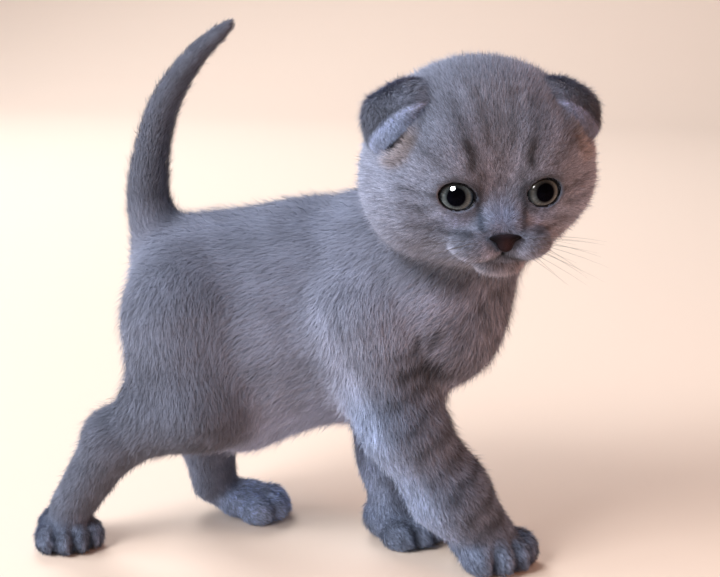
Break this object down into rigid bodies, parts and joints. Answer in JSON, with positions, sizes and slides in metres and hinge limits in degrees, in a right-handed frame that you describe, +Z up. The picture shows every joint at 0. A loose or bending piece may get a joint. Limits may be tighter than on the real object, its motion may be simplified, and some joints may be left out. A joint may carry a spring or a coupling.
{
  "type": "scottish fold cat",
  "caption": "Life-size museum model of a young grey Scottish fold cat in mid walk, tail up, head turned towards its right side.",
  "frame": {"origin": "middle of the bounding box in plan, on the floor under the paws", "axes": "+X forward along the body, +Y towards the cat's left, +Z up"},
  "size_m": [0.1702, 0.0914, 0.1599],
  "materials": {
    "coat": "short plush fur, blue-grey",
    "dark_coat": "short plush fur, slate grey",
    "paw_coat": "very short fur, blue-grey",
    "eye": "clear, wet, grey-olive iris and wide dark pupil",
    "nose_leather": "bare, slightly moist"
  },
  "bodies": {
    "root": {"torso": "coat", "neck": "coat", "head": "coat", "ear_right": "dark_coat", "ear_left": "dark_coat", "eye_right": "eye", "eye_left": "eye", "nose": "nose_leather", "tail": "dark_coat", "front_right_leg": "coat", "front_right_paw": "paw_coat", "front_left_leg": "coat", "front_left_paw": "paw_coat", "hind_right_leg": "coat", "hind_right_paw": "paw_coat", "hind_left_leg": "coat", "hind_left_paw": "paw_coat"}
  },
  "joints": []
}
